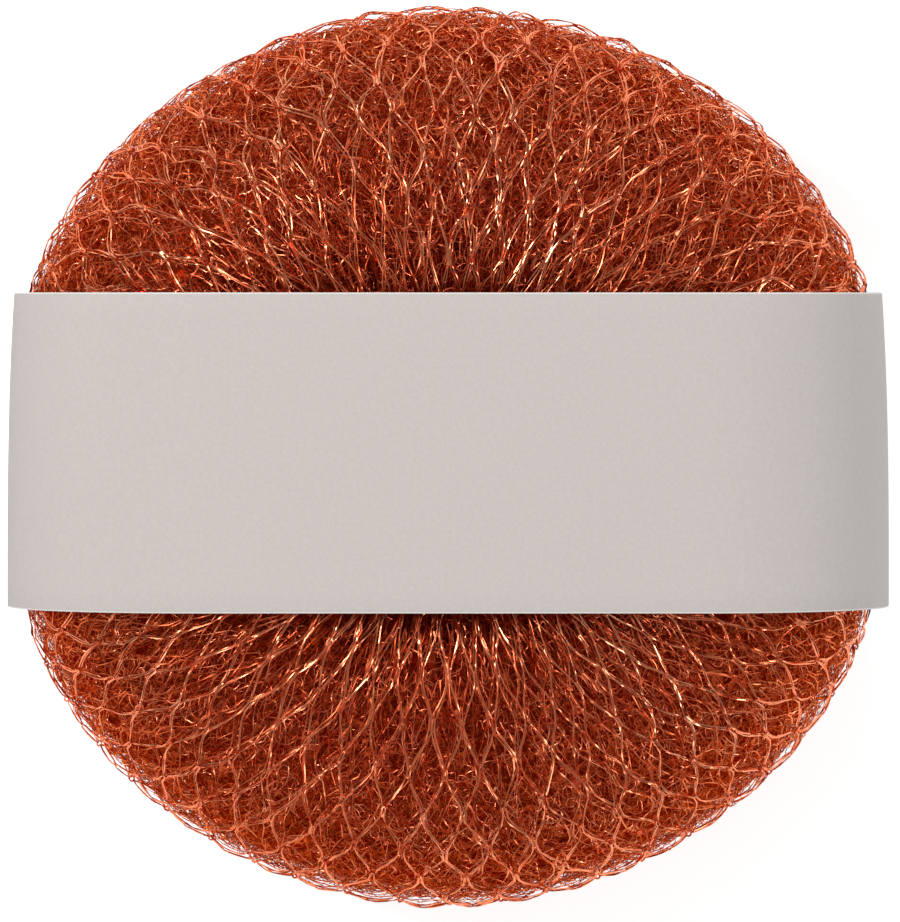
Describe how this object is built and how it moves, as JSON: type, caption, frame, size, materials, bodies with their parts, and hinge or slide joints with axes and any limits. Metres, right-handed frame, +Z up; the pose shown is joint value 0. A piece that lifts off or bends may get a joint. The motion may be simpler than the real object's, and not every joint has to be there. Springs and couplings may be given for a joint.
{
  "type": "pot sponge",
  "caption": "Knitted copper scourer, rolled into a thick flat ball with a gathered hole, held in a plain paper band that slides off.",
  "frame": {"origin": "on the surface that the sponge lies on, under the middle of the sponge and its band", "axes": "+Z up, out of the front face and along the axis of the rolled ring; +Y along the slide of the band, towards the top of the pictured face; +X along the band, to the right of the pictured face"},
  "size_m": [0.0982, 0.1, 0.042],
  "materials": {
    "copper_net": "bright flat copper wire, knitted",
    "copper_roll": "dense knitted copper wire, darker in the shade of the roll",
    "copper_tie": "drawn copper wire",
    "paper": "uncoated light grey card, bare",
    "glue": "clear hot-melt glue"
  },
  "bodies": {
    "sponge": {"outer_net": "copper_net", "middle_turn": "copper_roll", "inner_turn": "copper_roll", "core_ring": "copper_roll", "gathered_neck": "copper_roll", "tie_wire": "copper_tie"},
    "band": {"paper_band": "paper", "glue_strip": "glue"}
  },
  "joints": [
    {"name": "band_slide", "type": "slide", "parent": "sponge", "child": "band", "axis": [0, 1, 0], "range_m": [-0.07, 0.07]}
  ]
}
